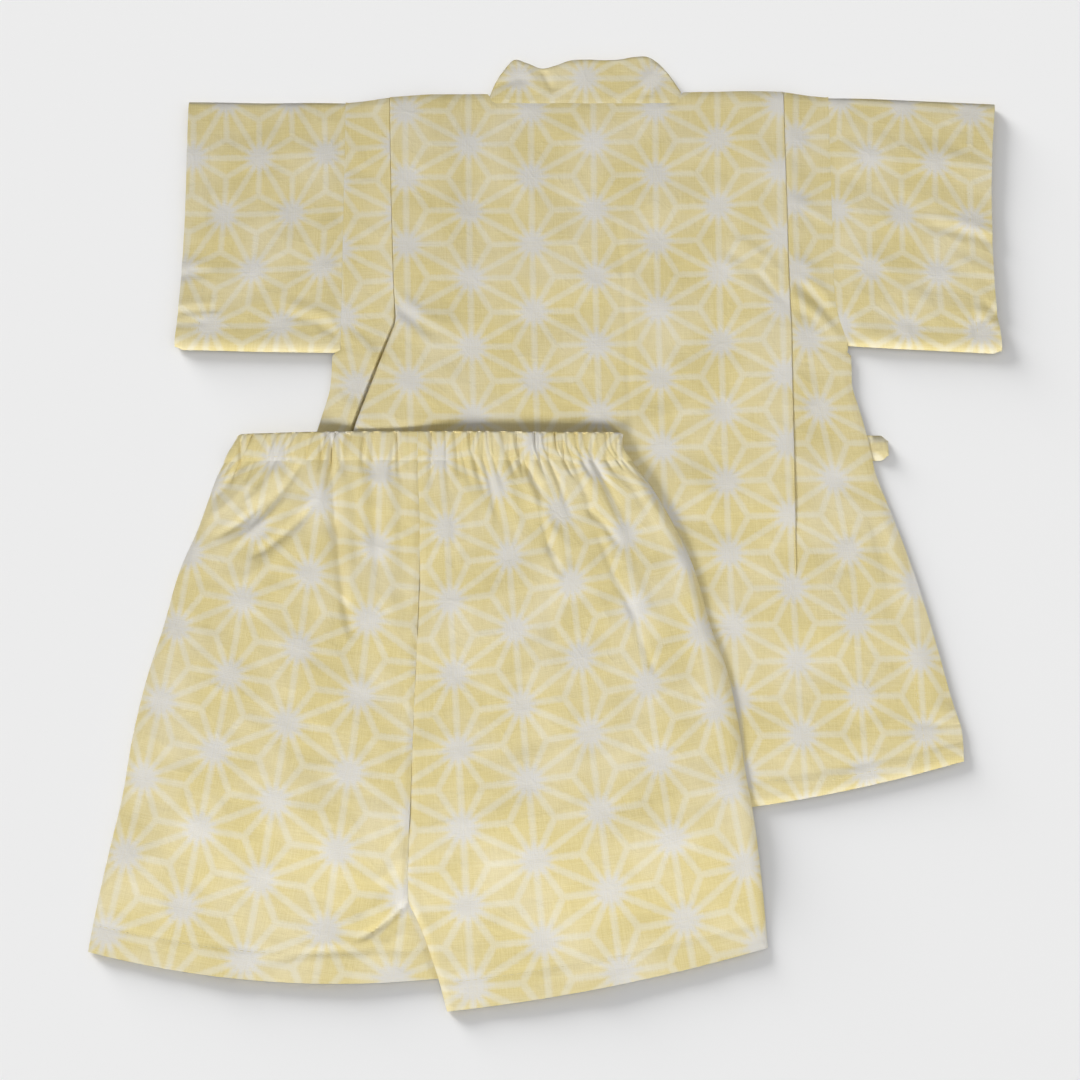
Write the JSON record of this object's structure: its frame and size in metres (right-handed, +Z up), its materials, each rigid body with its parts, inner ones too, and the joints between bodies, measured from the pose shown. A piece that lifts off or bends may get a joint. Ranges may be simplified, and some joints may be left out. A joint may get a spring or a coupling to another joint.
{
  "type": "jinbei set",
  "caption": "Child's two-piece summer set laid flat: a wrap top with short sleeves lying face down, and gathered shorts on it.",
  "frame": {"origin": "centre of the whole set's outline, on the surface it lies on", "axes": "+Y from the hems to the collar, +X to the top's right sleeve as seen from above, +Z up from the surface"},
  "size_m": [0.4388, 0.4759, 0.0102],
  "materials": {
    "body_cloth": "slubby plain-weave cotton, matt, pale yellow with a cream hemp-leaf print",
    "trim_cloth": "the same cotton, cut as collar and ties",
    "shorts_cloth": "the same cotton, gathered at the waist"
  },
  "bodies": {
    "root": {"front_left": "body_cloth", "front_right": "body_cloth", "back": "body_cloth", "sleeve_left": "body_cloth", "sleeve_right": "body_cloth", "collar_left": "trim_cloth", "collar_right": "trim_cloth", "collar_neck": "trim_cloth", "tie_front": "trim_cloth", "tie_side": "trim_cloth", "leg_left": "shorts_cloth", "leg_right": "shorts_cloth", "waistband": "shorts_cloth"}
  },
  "joints": []
}
